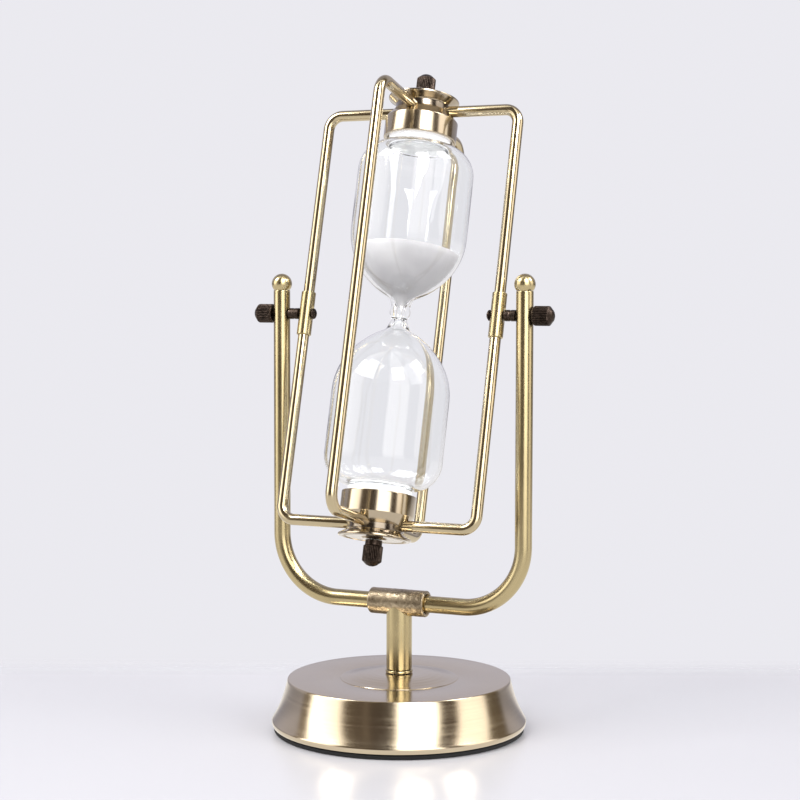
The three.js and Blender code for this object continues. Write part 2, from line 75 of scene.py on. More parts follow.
PIVOT = Vector(JOINTS["cage_turn"]["pos_m"])
CAGE_UP = Vector(JOINTS["top_nut_turn"]["axis"]).normalized()
LEAN = Vector((0, 0, 1)).rotation_difference(CAGE_UP)
CAGE = Matrix.Translation(PIVOT) @ LEAN.to_matrix().to_4x4()
HALF_TURN = Matrix.Rotation(math.pi, 4, "X")
ALONG_X = Matrix.Rotation(math.pi / 2, 4, "Y")
SIDES = {"right": 0, "left": math.pi, "back": math.pi / 2, "front": -math.pi / 2}


def local_box(node, place):
    """A CAD node's lowest and highest corners in the frame of place."""
    inverse = place.inverted()
    corners = [inverse @ vertex.co for vertex in NODES[node].data.vertices]
    return (
        Vector([min(corner[i] for corner in corners) for i in range(3)]),
        Vector([max(corner[i] for corner in corners) for i in range(3)]),
    )


def side_place(side):
    """The cage's own frame, turned so that local X points to that side."""
    return CAGE @ Matrix.Rotation(SIDES[side], 4, "Z")


def pivot_place(side):
    """Local Z runs outwards along the turning axis."""
    return Matrix.Translation(PIVOT) @ Matrix.Rotation(SIDES[side], 4, "Z") @ ALONG_X


hub_low, hub_high = local_box("top_hub", CAGE)
RODS_Z = (hub_low.z + hub_high.z) / 2
CAPS = {
    "top": CAGE @ Matrix.Translation((0, 0, RODS_Z)),
    "bottom": CAGE @ HALF_TURN @ Matrix.Translation((0, 0, RODS_Z)),
}

# ------------------------------------------------------------------------------------------
# Mesh making. Every mesh carries a grain attribute: the cosine and sine of the angle round the
# piece, and the distance along its profile or path in millimetres. The materials brush along it.

SHARP_ANGLE = math.radians(34)
ON_AXIS = 1e-7
WIDEST_FILLET = 0.49
ROD_END_ROUND = 0.4 * MM
ROD_END_STEPS = 4


def linked(name, data, place=None):
    """A new object in the scene."""
    piece = bpy.data.objects.new(name, data)
    bpy.context.scene.collection.objects.link(piece)
    if place is not None:
        piece.matrix_world = place
    return piece


def finish_mesh(name, vertices, faces, grain):
    """A mesh with its grain, smooth apart from edges sharper than SHARP_ANGLE."""
    mesh = bpy.data.meshes.new(name)
    mesh.from_pydata(vertices, [], faces)
    attribute = mesh.attributes.new("grain", "FLOAT_VECTOR", "POINT")
    attribute.data.foreach_set("vector", [value for point in grain for value in point])
    mesh.shade_smooth()
    mesh.set_sharp_from_angle(angle=SHARP_ANGLE)
    mesh.validate()
    return mesh


# Painted shade: a darkening of a whole piece that stands in for the shade that falls on it.
def with_painted_shade(mesh, amount):
    """Marks a mesh with painted shade, from 0 to 1: its whole surface is darkened."""
    attribute = mesh.attributes.new("painted_shade", "FLOAT", "POINT")
    attribute.data.foreach_set("value", [amount] * len(mesh.vertices))
    return mesh


def stand_in(node, mesh, place):
    """A fine mesh that is shown in place of a CAD node, with that node's body and finish."""
    piece = linked(node + "_fine", mesh, place)
    mesh.materials.append(MATERIALS[SLOTS[node]])
    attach(piece, NODES[node]["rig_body"])
    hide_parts(node)
    return piece


def rounded(corners, closed=False, steps=5):
    """An outline through (r, z, fillet) corners, with each corner that has a fillet as an arc. A
    fillet never takes up more than WIDEST_FILLET of the edges beside it."""
    points = []
    last = len(corners) - 1
    for i, (r, z, fillet) in enumerate(corners):
        here = Vector((r, z))
        if not fillet or (not closed and i in (0, last)):
            points.append(here)
            continue
        before = Vector(corners[i - 1][:2]) - here
        after = Vector(corners[(i + 1) % len(corners)][:2]) - here
        opening = before.angle(after)
        reach = min(
            fillet / math.tan(opening / 2),
            before.length * WIDEST_FILLET,
            after.length * WIDEST_FILLET,
        )
        radius = reach * math.tan(opening / 2)
        start = here + before.normalized() * reach
        end = here + after.normalized() * reach
        bisector = (before.normalized() + after.normalized()).normalized()
        centre = here + bisector * math.hypot(reach, radius)
        for k in range(steps + 1):
            spoke = (start - centre).lerp(end - centre, k / steps).normalized()
            points.append(centre + spoke * radius)
    return [(point.x, point.y) for point in points]


def split_long(outline, stretch, count=math.ceil):
    """The outline with points added, so that its stretches are about as long as stretch."""
    fine = [outline[0]]
    for start, end in zip(outline, outline[1:]):
        steps = max(1, count(math.dist(start, end) / stretch))
        fine += [
            tuple(a + (b - a) * i / steps for a, b in zip(start, end)) for i in range(1, steps + 1)
        ]
    return fine


def turned(name, profile, segments=96, closed=False, flute=None, warp=None):
    """Turns an outline of (r, z) about Z. The surface faces the right-hand side of the way that
    the outline runs. flute(angle, z) scales the radius, and warp moves each vertex."""
    if closed:
        profile = profile + profile[:1]
    vertices, faces, grain, rings = [], [], [], []
    along = 0.0
    for i, (r, z) in enumerate(profile):
        if i:
            along += math.dist(profile[i - 1], (r, z)) / MM
        if closed and i == len(profile) - 1:
            rings.append(rings[0])
            continue
        count = 1 if r < ON_AXIS else segments
        rings.append(range(len(vertices), len(vertices) + count))
        for k in range(count):
            angle = 2 * math.pi * k / segments
            scale = flute(angle, z) if flute else 1
            vertex = Vector((r * scale * math.cos(angle), r * scale * math.sin(angle), z))
            vertices.append(warp(vertex) if warp else vertex)
            grain.append((math.cos(angle), math.sin(angle), along))
    for inner, outer in zip(rings, rings[1:]):
        for k in range(segments):
            n = (k + 1) % segments
            if len(inner) == 1 and len(outer) == 1:
                continue
            if len(inner) == 1:
                faces.append((inner[0], outer[n], outer[k]))
            elif len(outer) == 1:
                faces.append((inner[k], inner[n], outer[0]))
            else:
                faces.append((inner[k], inner[n], outer[n], outer[k]))
    return finish_mesh(name, vertices, faces, grain)


def ring(name, corners, segments, steps=5):
    """A piece with a hole through it, turned from the (r, z, fillet) corners all round its wall."""
    return turned(name, rounded(corners, closed=True, steps=steps), segments, closed=True)


def bent_path(corners, bend_radius, degrees_per_step):
    """Stations (point, direction) along straight stretches and round bends in the XZ plane."""
    points = [Vector((x, 0, z)) for x, z in corners]
    stations = [(points[0], (points[1] - points[0]).normalized())]
    for before, corner, after in zip(points, points[1:], points[2:]):
        into = (corner - before).normalized()
        out = (after - corner).normalized()
        angle = into.angle(out)
        axis = into.cross(out).normalized()
        start = corner - into * bend_radius * math.tan(angle / 2)
        spoke = axis.cross(into) * bend_radius
        steps = max(2, round(math.degrees(angle) / degrees_per_step))
        for i in range(steps + 1):
            turn = Matrix.Rotation(angle * i / steps, 3, axis)
            stations.append((start + spoke - turn @ spoke, turn @ into))
    stations.append((points[-1], (points[-1] - points[-2]).normalized()))
    return stations


def swept(name, stations, radius, sides):
    """A solid rod along a path in the XZ plane, with its ends rounded over."""
    (first, into), (last, out) = stations[0], stations[-1]
    turns = [math.pi / 2 * i / ROD_END_STEPS for i in range(ROD_END_STEPS + 1)]

    def end_ring(point, inwards, way, turn):
        inset = inwards * ROD_END_ROUND * (1 - math.cos(turn))
        return (point + inset, way, radius - ROD_END_ROUND * (1 - math.sin(turn)))

    rings = [end_ring(first, into, into, turn) for turn in turns]
    rings += [(point, way, radius) for point, way in stations[1:-1]]
    rings += [end_ring(last, -out, out, turn) for turn in reversed(turns)]
    vertices, faces, grain = [], [], []
    across = Vector((0, 1, 0))
    along = 0.0
    for i, (point, way, ring_radius) in enumerate(rings):
        if i:
            along += (point - rings[i - 1][0]).length / MM
        other = way.cross(across)
        for k in range(sides):
            angle = 2 * math.pi * k / sides
            spoke = across * math.cos(angle) + other * math.sin(angle)
            vertices.append(point + spoke * ring_radius)
            grain.append((math.cos(angle), math.sin(angle), along))
    for i in range(len(rings) - 1):
        for k in range(sides):
            n = (k + 1) % sides
            a, b = i * sides, (i + 1) * sides
            faces.append((a + k, b + k, b + n, a + n))
    faces.append(tuple(range(sides)))
    faces.append(tuple(reversed(range(len(vertices) - sides, len(vertices)))))
    return finish_mesh(name, vertices, faces, grain)


def bezier(start, first, second, end, steps):
    """A cubic curve of (r, z) points from start to end, drawn towards first and then second."""
    points = []
    for i in range(steps + 1):
        t = i / steps
        u = 1 - t
        weights = (u**3, 3 * u * u * t, 3 * u * t * t, t**3)
        points.append(tuple(
            sum(weight * point[axis] for weight, point in zip(weights, (start, first, second, end)))
            for axis in (0, 1)
        ))
    return points


def arc(r, z, radius, start, end, steps):
    """A round arc of (r, z) points about a centre, between two angles in degrees."""
    angles = [math.radians(start + (end - start) * i / steps) for i in range(steps + 1)]
    return [(r + radius * math.cos(angle), z + radius * math.sin(angle)) for angle in angles]


# ------------------------------------------------------------------------------------------
# Materials.


class NodeTree:
    """Nodes under construction. Calls add nodes and return their output sockets."""

    def __init__(self, tree):
        self.tree = tree

    def add(self, kind, result=0, settings=None, **inputs):
        node = self.tree.nodes.new(kind)
        for key, value in (settings or {}).items():
            setattr(node, key, value)
        for key, value in inputs.items():
            self.feed(node.inputs[key.replace("_", " ")], value)
        return node.outputs[result]

    def feed(self, socket, value):
        if isinstance(value, bpy.types.NodeSocket):
            self.tree.links.new(value, socket)
        else:
            socket.default_value = value

    def ramp(self, factor, stops):
        """A colour or grey ramp through (position, colour) stops."""
        socket = self.add("ShaderNodeValToRGB", "Color", Fac=factor)
        elements = socket.node.color_ramp.elements
        while len(elements) < len(stops):
            elements.new(0.5)
        for element, (position, colour) in zip(elements, stops):
            element.position = position
            element.color = grey(colour) if isinstance(colour, float) else (*colour, 1)
        return socket

    def span(self, factor, low, high, from_low, from_high):
        """The factor's stretch from from_low to from_high, mapped onto low to high."""
        socket = self.add("ShaderNodeMapRange", Value=factor)
        limits = {"From Min": from_low, "From Max": from_high, "To Min": low, "To Max": high}
        for key, value in limits.items():
            socket.node.inputs[key].default_value = value
        return socket

    def math(self, operation, *values, kind="ShaderNodeMath", result=0):
        socket = self.add(kind, result, {"operation": operation})
        for inlet, value in zip(socket.node.inputs, values):
            self.feed(inlet, value)
        return socket

    def blend(self, factor, first, second, blend_type="MIX"):
        """A mix of two colours, each a socket or an (r, g, b)."""
        node = self.tree.nodes.new("ShaderNodeMix")
        node.data_type = "RGBA"
        node.blend_type = blend_type
        self.feed(node.inputs["Factor"], factor)
        colours = [socket for socket in node.inputs if socket.type == "RGBA"]
        for socket, colour in zip(colours, (first, second)):
            self.feed(socket, (*colour, 1) if isinstance(colour, tuple) else colour)
        return next(socket for socket in node.outputs if socket.type == "RGBA")


class Shader(NodeTree):
    """A material with a Principled surface."""

    def __init__(self, name):
        self.material = bpy.data.materials.new(name)
        self.material.use_nodes = True
        super().__init__(self.material.node_tree)
        self.surface = self.tree.nodes["Principled BSDF"]
        self.output = self.tree.nodes["Material Output"]

    def set(self, **inputs):
        for key, value in inputs.items():
            self.feed(self.surface.inputs[key.replace("_", " ")], value)

    def attribute(self, name, result):
        return self.add("ShaderNodeAttribute", result, {"attribute_name": name})

    def object_place(self):
        return self.add("ShaderNodeTexCoord", "Object")

    def noise(self, vector, scale, detail=3.0, roughness=0.5):
        inputs = {"Vector": vector, "Scale": scale, "Detail": detail, "Roughness": roughness}
        return self.add("ShaderNodeTexNoise", "Fac", **inputs)

    def lines(self, grain, stretch):
        """Noise drawn out into lines along the grain."""
        stretched = self.add("ShaderNodeMapping", Vector=grain, Scale=stretch)
        return self.noise(stretched, 1.0, roughness=LINE_ROUGHNESS)

    def bump(self, height, distance):
        return self.add("ShaderNodeBump", Height=height, Distance=distance, Strength=1.0)


def grey(value):
    return (value, value, value, 1)


# How the grain is stretched for a brushed metal's fine lines and for its broad ones.
BRUSHED_ROUND = ((0.8, 0.8, 6.0), (0.5, 0.5, 1.0))
DRAWN_ALONG = ((7.0, 7.0, 0.06), (2.0, 2.0, 0.02))
LINE_ROUGHNESS = 0.6
TARNISH_SCALE = 38.0
LACQUER_ROUGHNESS = 0.12
FOAM_SHADE = 0.8
FOAM_DEPTH = 0.15 * MM
SAND_GRAIN_DEPTH = 0.06 * MM
GLASS_RIPPLE_DEPTH = 0.12 * MM
TABLE_FADE = (0.32, 0.6)
TABLE_EDGE_SOFTNESS = 0.02


def brushed_metal(name, colour, dark, roughness, lines, line_depth, patches=0.1, coat=0.0):
    """Metal with fine lines under a thin lacquer. It darkens in faint patches of tarnish, and where
    the mesh is marked with painted shade. line_depth is in metres."""
    shader = Shader(name)
    grain = shader.attribute("grain", "Vector")
    place = shader.object_place()
    fine_stretch, broad_stretch = lines
    fine = shader.lines(grain, fine_stretch)
    broad = shader.lines(grain, broad_stretch)
    cloud = shader.noise(place, TARNISH_SCALE, detail=4.0, roughness=0.6)
    tarnish = shader.ramp(cloud, [(0.35, 1.0), (0.6, 0.0)])
    # Painted shade: a darkening marked on the mesh, which stands in for shade on recessed parts.
    painted_shade = shader.attribute("painted_shade", "Fac")
    tarnish_and_painted_shade = shader.math("MAXIMUM", shader.math("MULTIPLY", tarnish, patches), painted_shade)
    lines_sum = shader.math("ADD", fine, broad)
    tone = shader.span(lines_sum, 0.93, 1.05, from_low=0.7, from_high=1.3)
    metal = shader.blend(tarnish_and_painted_shade, colour, dark)
    shader.set(
        Base_Color=shader.add("ShaderNodeHueSaturation", Color=metal, Value=tone),
        Metallic=1.0,
        Roughness=shader.span(
            broad, roughness - 0.03, roughness + 0.05, from_low=0.3, from_high=0.7
        ),
        Normal=shader.bump(fine, line_depth),
        Coat_Weight=coat,
        Coat_Roughness=LACQUER_ROUGHNESS,
    )
    return shader.material


def rough_metal(name, colour, dark, roughness, grit, depth):
    """Cast or blackened metal: a pitted surface, dark in the pits and rubbed brighter on top."""
    shader = Shader(name)
    place = shader.object_place()
    pits = shader.noise(place, grit, detail=4.0, roughness=0.65)
    cloud = shader.noise(place, grit * 0.12, roughness=0.55)
    wear = shader.math("ADD", pits, shader.math("MULTIPLY", cloud, 0.6))
    rubbed = shader.ramp(wear, [(0.62, 0.0), (0.95, 1.0)])
    shader.set(
        Base_Color=shader.blend(rubbed, dark, colour),
        Metallic=1.0,
        Roughness=shader.span(
            pits, roughness + 0.15, roughness - 0.08, from_low=0.3, from_high=0.7
        ),
        Normal=shader.bump(pits, depth),
    )
    return shader.material


def foam(name, colour, pores, painted_glow=0.0):
    """Soft foam. Its emission is painted light that keeps end pads in the cups bright."""
    shader = Shader(name)
    place = shader.object_place()
    cells = shader.add("ShaderNodeTexVoronoi", "Distance", Vector=place, Scale=pores)
    cloud = shader.noise(place, 60.0)
    shade = tuple(FOAM_SHADE * channel for channel in colour)
    shader.set(
        Base_Color=shader.blend(cloud, shade, colour),
        Roughness=0.9,
        Normal=shader.bump(cells, FOAM_DEPTH),
        # Painted light: an emission that brightens the foam where the cups shade it.
        Emission_Color=(*colour, 1),
        Emission_Strength=painted_glow,
    )
    return shader.material


def fine_sand(name):
    """Matt sand with darker specks, and slow changes of tint."""
    shader = Shader(name)
    place = shader.object_place()
    grains = shader.noise(place, 2600.0, detail=2.0, roughness=0.7)
    speckle = shader.add("ShaderNodeTexVoronoi", "Color", Vector=place, Scale=3600.0)
    drift = shader.noise(place, 70.0)
    drift_share = shader.span(drift, 0.0, 1.0, from_low=0.35, from_high=0.65)
    tint = shader.blend(drift_share, (0.52, 0.505, 0.515), (0.62, 0.605, 0.61))
    dark_grain = shader.ramp(speckle, [(0.0, 0.86), (0.22, 1.0)])
    shader.set(
        Base_Color=shader.add("ShaderNodeHueSaturation", Color=tint, Value=dark_grain),
        Roughness=0.95,
        Specular_IOR_Level=0.2,
        Normal=shader.bump(grains, SAND_GRAIN_DEPTH),
    )
    return shader.material


def clear_glass(name):
    """Blown glass with slow ripples in its surface. Shadow rays pass through."""
    shader = Shader(name)
    ripple = shader.noise(shader.object_place(), 45.0, detail=1.0, roughness=0.4)
    shader.set(
        Base_Color=(0.985, 0.992, 0.99, 1),
        Roughness=0.0,
        IOR=1.47,
        Transmission_Weight=1.0,
        Normal=shader.bump(ripple, GLASS_RIPPLE_DEPTH),
    )
    paths = shader.add("ShaderNodeLightPath", "Is Shadow Ray")
    veil = shader.add("ShaderNodeBsdfTransparent", Color=(0.96, 0.97, 0.97, 1))
    mixer = shader.add("ShaderNodeMixShader")
    for socket, source in zip(mixer.node.inputs, (paths, shader.surface.outputs[0], veil)):
        shader.feed(socket, source)
    shader.feed(shader.output.inputs["Surface"], mixer)
    return shader.material


def table_finish(name, away, edge):
    """A pale table top that melts into the backdrop all round, and sooner on its far side. away is
    the level direction from the camera, and edge is how far along it the table ends."""
    shader = Shader(name)
    place = shader.object_place()
    cloud = shader.noise(place, 3.0, detail=2.0)
    measure = {"kind": "ShaderNodeVectorMath", "result": "Value"}
    reach = shader.math("DOT_PRODUCT", place, away, **measure)
    distance = shader.math("LENGTH", place, **measure)
    near = shader.span(reach, 1.0, 0.0, edge - TABLE_EDGE_SOFTNESS, edge + TABLE_EDGE_SOFTNESS)
    inside = shader.span(distance, 1.0, 0.0, *TABLE_FADE)
    shader.set(
        Base_Color=shader.blend(cloud, (0.59, 0.586, 0.605), (0.62, 0.616, 0.635)),
        Roughness=0.25,
        Specular_IOR_Level=0.4,
        Alpha=shader.math("MULTIPLY", near, inside),
    )
    return shader.material


MATERIALS = {
    "satin_brass": brushed_metal(
        "satin_brass",
        colour=(0.60, 0.51, 0.375),
        dark=(0.13, 0.105, 0.085),
        roughness=0.16,
        lines=BRUSHED_ROUND,
        line_depth=0.010 * MM,
        patches=0.06,
        coat=0.5,
    ),
    "brushed_brass": brushed_metal(
        "brushed_brass",
        colour=(0.50, 0.415, 0.235),
        dark=(0.22, 0.17, 0.08),
        roughness=0.24,
        lines=DRAWN_ALONG,
        line_depth=0.004 * MM,
        patches=0.2,
        coat=0.3,
    ),
    "polished_brass": brushed_metal(
        "polished_brass",
        colour=(0.52, 0.44, 0.29),
        dark=(0.24, 0.19, 0.11),
        roughness=0.13,
        lines=DRAWN_ALONG,
        line_depth=0.002 * MM,
        patches=0.1,
        coat=0.4,
    ),
    "dark_bronze": rough_metal(
        "dark_bronze",
        colour=(0.075, 0.055, 0.045),
        dark=(0.02, 0.015, 0.012),
        roughness=0.34,
        grit=900.0,
        depth=0.02 * MM,
    ),
    "aged_bronze": rough_metal(
        "aged_bronze",
        colour=(0.47, 0.39, 0.28),
        dark=(0.22, 0.175, 0.12),
        roughness=0.3,
        grit=700.0,
        depth=0.03 * MM,
    ),
    "zinc_steel": brushed_metal(
        "zinc_steel",
        colour=(0.62, 0.63, 0.65),
        dark=(0.4, 0.4, 0.4),
        roughness=0.3,
        lines=BRUSHED_ROUND,
        line_depth=0.004 * MM,
    ),
    "iron": rough_metal(
        "iron",
        colour=(0.16, 0.16, 0.165),
        dark=(0.05, 0.045, 0.04),
        roughness=0.6,
        grit=300.0,
        depth=0.2 * MM,
    ),
    "clear_glass": clear_glass("clear_glass"),
    "white_sand": fine_sand("white_sand"),
    # The white foam glows with painted light, to brighten the end pads that sit in the cups' shade.
    "white_foam": foam("white_foam", (0.9, 0.9, 0.91), pores=1500.0, painted_glow=0.45),
    "black_foam": foam("black_foam", (0.006, 0.006, 0.007), pores=1300.0),
}

for node, slot in SLOTS.items():
    NODES[node].data.materials.clear()
    NODES[node].data.materials.append(MATERIALS[slot])

# ------------------------------------------------------------------------------------------
# Base.

SHELL_WALL = 1.2 * MM
pad_low, pad_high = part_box("base_pad")
shell_low, shell_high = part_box("base_shell")
BASE_RADIUS = shell_high.x
BASE_TOP_RADIUS = BASE_RADIUS - 7.3 * MM
DOME_RADIUS = 26.5 * MM
DOME_RISE = 2.2 * MM
BASE_TOP_Z = shell_high.z - DOME_RISE
LIP_Z = 4.6 * MM
BOLT_HOLE_RADIUS = 3.4 * MM
RIPPLE_HEIGHT = 0.015 * MM
RIPPLE_LENGTH = 0.42 * MM
FLARE_PULLS = ((53.7 * MM, 10 * MM), (52.1 * MM, 14 * MM))
ORIGIN = Matrix.Identity(4)


def base_shell():
    """A flared skirt with a small rounded lip, a crisp top edge, and a low dome round the stem.
    The dome has fine turning marks, and its middle is level with the foot of the stem."""
    low, top, foot = shell_low.z, BASE_TOP_Z, shell_high.z
    lip = bezier(
        (BASE_RADIUS - 0.9 * MM, low),
        (BASE_RADIUS - 0.35 * MM, low + 0.15 * MM),
        (BASE_RADIUS, low + 1.2 * MM),
        (BASE_RADIUS, LIP_Z - 0.3 * MM),
        steps=10,
    )
    flare = bezier(
        (BASE_RADIUS - 0.02 * MM, LIP_Z),
        *FLARE_PULLS,
        (BASE_TOP_RADIUS + 0.3 * MM, top - 0.5 * MM),
        steps=36,
    )
    edge = arc(BASE_TOP_RADIUS - 0.25 * MM, top - 0.5 * MM, 0.5 * MM, 12, 90, steps=6)
    swell = bezier(
        (DOME_RADIUS - 0.2 * MM, top + 0.16 * MM),
        (DOME_RADIUS - 5 * MM, top + 0.5 * MM),
        (DOME_RADIUS - 8.5 * MM, foot),
        (10 * MM, foot),
        steps=60,
    )
    dome = [(DOME_RADIUS + 0.3 * MM, top), (DOME_RADIUS, top - 0.05 * MM)]
    for r, z in swell:
        dome.append((r, min(z + RIPPLE_HEIGHT * math.sin(r / RIPPLE_LENGTH), foot)))
    inside = [
        (BOLT_HOLE_RADIUS, foot),
        (BOLT_HOLE_RADIUS, foot - SHELL_WALL),
        (9 * MM, foot - SHELL_WALL),
        (DOME_RADIUS - 2 * MM, top - SHELL_WALL),
        (BASE_TOP_RADIUS - 1.4 * MM, top - SHELL_WALL),
        (51.6 * MM, 13 * MM),
        (BASE_RADIUS - SHELL_WALL - 0.2 * MM, LIP_Z + 0.4 * MM),
        (BASE_RADIUS - SHELL_WALL - 1.0 * MM, low + 0.2 * MM),
    ]
    outline = lip + flare + edge + dome + inside
    return turned("base_shell_fine", outline, segments=256, closed=True)


def base_pad():
    """The foam disc under the base."""
    radius, height = pad_high.x, pad_high.z
    edge = 0.5 * MM
    outline = rounded([(0, 0, 0), (radius, 0, edge), (radius, height, edge), (0, height, 0)])
    return turned("base_pad_fine", outline, segments=192)


stand_in("base_shell", base_shell(), ORIGIN)
stand_in("base_pad", base_pad(), ORIGIN)

# ------------------------------------------------------------------------------------------
# Stem and yoke.

TUBE_RADIUS = 3.75 * MM
TUBE_BEND_RADIUS = 28 * MM
COLLAR_RADIUS = 5.9 * MM
BALL_RADIUS = 4.6 * MM
BALL_SEAT = 2.8 * MM
SPIGOT_RADIUS = 2.4 * MM
SPIGOT_DEPTH = 9 * MM
GAP = 0.3 * MM
tube_low, tube_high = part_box("yoke_tube")
POST_X = tube_high.x - TUBE_RADIUS
TUBE_LOW_Z = tube_low.z + TUBE_RADIUS
TUBE_TOP_Z = tube_high.z
STEM_TOP_Z = TUBE_LOW_Z - COLLAR_RADIUS + 0.4 * MM
CAST_LUMPS = 0.012


def stem():
    """A short post with a broken edge at its foot."""
    low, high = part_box("stem")
    radius = high.x
    outline = rounded(
        [(0, low.z, 0), (radius, low.z, 0.35 * MM), (radius, STEM_TOP_Z, 0), (0, STEM_TOP_Z, 0)],
        steps=6,
    )
    return turned("stem_fine", outline, segments=128, warp=saddle_under_collar)


def saddle_under_collar(vertex):
    """The top of the stem follows the underside of the collar that crosses it."""
    if vertex.z < STEM_TOP_Z - 0.01 * MM:
        return vertex
    reach = COLLAR_RADIUS + 0.05 * MM
    drop = math.sqrt(max(0.0, reach**2 - min(abs(vertex.y), reach) ** 2))
    return Vector((vertex.x, vertex.y, TUBE_LOW_Z - drop))


def stem_washer():
    """A thin ring with a rounded rim, round the foot of the stem."""
    low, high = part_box("stem_washer")
    rim = high.x + 0.35 * MM
    corners = [
        (BOLT_HOLE_RADIUS, low.z, 0),
        (rim, low.z, 0.3 * MM),
        (rim, high.z, 0.45 * MM),
        (BOLT_HOLE_RADIUS, high.z, 0),
    ]
    return ring("stem_washer_fine", corners, segments=128)


def yoke_tube():
    """One tube bent into a U."""
    route = [
        (-POST_X, TUBE_TOP_Z),
        (-POST_X, TUBE_LOW_Z),
        (POST_X, TUBE_LOW_Z),
        (POST_X, TUBE_TOP_Z),
    ]
    path = bent_path(route, TUBE_BEND_RADIUS, degrees_per_step=2.5)
    return swept("yoke_tube_fine", path, TUBE_RADIUS, sides=64)


def yoke_collar():
    """A cast sleeve along X, with rounded ends that are turned down to a lip round the tube."""
    low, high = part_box("yoke_collar")
    half = high.x
    mouth = TUBE_RADIUS + 0.9 * MM
    bore = TUBE_RADIUS + 0.15 * MM
    outline = rounded(
        [
            (mouth, -half, 0.2 * MM),
            (COLLAR_RADIUS, -half, 0.6 * MM),
            (COLLAR_RADIUS, half, 0.6 * MM),
            (mouth, half, 0.2 * MM),
            (bore, half - 1.2 * MM, 0),
            (bore, -half + 1.2 * MM, 0),
        ],
        closed=True,
    )
    outline = split_long(outline + outline[:1], 0.5 * MM, round)[:-1]
    return turned("yoke_collar_fine", outline, segments=128, closed=True, warp=cast_surface)


def cast_surface(vertex):
    """Shallow lumps and dents, as a sand casting has."""
    lump = noise.noise(vertex / (2.2 * MM)) + 0.5 * noise.noise(vertex / (0.9 * MM))
    scale = 1 + CAST_LUMPS * (lump - 0.7)
    return Vector((vertex.x * scale, vertex.y * scale, vertex.z))


def ball_finial():
    """A ball on a spigot that plugs into the tube. Z = 0 is the ball's middle."""
    seat_angle = math.degrees(math.asin(BALL_SEAT / BALL_RADIUS))
    neck = TUBE_RADIUS - 0.1 * MM
    ball = arc(0, 0, BALL_RADIUS, -seat_angle + 1, 90, steps=40)
    ball[-1] = (0, BALL_RADIUS)
    seat = -BALL_SEAT + 0.1 * MM
    foot = [
        (0, -SPIGOT_DEPTH),
        (SPIGOT_RADIUS, -SPIGOT_DEPTH),
        (SPIGOT_RADIUS, seat),
        (neck - 0.3 * MM, seat),
    ]
    return turned("ball_fine", foot + ball)


stand_in("stem", stem(), ORIGIN)
stand_in("stem_washer", stem_washer(), ORIGIN)
stand_in("yoke_tube", yoke_tube(), ORIGIN)
stand_in("yoke_collar", yoke_collar(), Matrix.Translation((0, 0, TUBE_LOW_Z)) @ ALONG_X)
for side, post in (("left", -POST_X), ("right", POST_X)):
    place = Matrix.Translation((post, 0, TUBE_TOP_Z + BALL_SEAT))
    stand_in(side + "_ball_finial", ball_finial(), place)

# ------------------------------------------------------------------------------------------
# Pivots. Local Z runs outwards along the turning axis, from the middle of the cage.

NUT_RADIUS = 4.3 * MM
NUT_TEETH = 34
SLEEVE_RADIUS = 3.25 * MM
ROD_RADIUS = 2.5 * MM
SCREW_RADIUS = 1.4 * MM
SCREW_HEAD_RADIUS = 2.4 * MM
SCREW_HOLE_RADIUS = 1.75 * MM
SPACER_RADIUS = 2.5 * MM
NUT_HOLE_DEPTH = 7 * MM
NUT_CONE_HEIGHT = 2.2 * MM
TOOTH_DEPTH = 0.085
FLAT_REACH = 3.2 * MM
FLAT_DEPTH = 0.35 * MM


def carved(mesh, tool):
    """The mesh with the tool cut out of it."""
    body = linked("body", mesh)
    cutter = linked("cutter", tool)
    modifier = body.modifiers.new("cut", "BOOLEAN")
    modifier.object = cutter
    modifier.operation = "DIFFERENCE"
    modifier.solver = "EXACT"
    evaluated = body.evaluated_get(bpy.context.evaluated_depsgraph_get())
    result = bpy.data.meshes.new_from_object(evaluated)
    result.name = mesh.name
    for temporary in (body, cutter):
        bpy.data.objects.remove(temporary)
    result.set_sharp_from_angle(angle=SHARP_ANGLE)
    return result


def slot_cutter(length, width, low, high):
    """A bar along local X for cutting a screwdriver slot."""
    x, y = length / 2, width / 2
    vertices = [(i, j, k) for k in (low, high) for i, j in ((-x, -y), (x, -y), (x, y), (-x, y))]
    faces = [(3, 2, 1, 0), (4, 5, 6, 7), (0, 1, 5, 4), (1, 2, 6, 5), (2, 3, 7, 6), (3, 0, 4, 7)]
    return finish_mesh("slot", vertices, faces, [(1, 0, 0)] * len(vertices))


def pivot_screw():
    """A round head with a screwdriver slot, and a plain shank."""
    low, high = local_box("right_pivot_screw", pivot_place("right"))
    seat = low.z + 1.3 * MM
    head = rounded(
        [
            (0, low.z, 0),
            (1.3 * MM, low.z + 0.08 * MM, 1.2 * MM),
            (SCREW_HEAD_RADIUS, seat - 0.5 * MM, 0.5 * MM),
            (SCREW_HEAD_RADIUS, seat, 0.1 * MM),
            (SCREW_RADIUS, seat, 0),
            (SCREW_RADIUS, high.z, 0),
            (0, high.z, 0),
        ]
    )
    slot = slot_cutter(
        length=6 * MM, width=0.7 * MM, low=low.z - 1 * MM, high=low.z + 0.7 * MM
    )
    return carved(turned("pivot_screw_fine", head, segments=64), slot)


def spacer():
    """A tube with a shallow turned waist."""
    low, high = local_box("right_spacer", pivot_place("right"))
    middle = (low.z + high.z) / 2
    corners = [
        (SCREW_HOLE_RADIUS, low.z, 0),
        (SPACER_RADIUS, low.z, 0.3 * MM),
        (SPACER_RADIUS, middle - 0.5 * MM, 0.1 * MM),
        (SPACER_RADIUS - 0.25 * MM, middle, 0.1 * MM),
        (SPACER_RADIUS, middle + 0.5 * MM, 0.1 * MM),
        (SPACER_RADIUS, high.z, 0.3 * MM),
        (SCREW_HOLE_RADIUS, high.z, 0),
    ]
    return ring("spacer_fine", corners, segments=64)


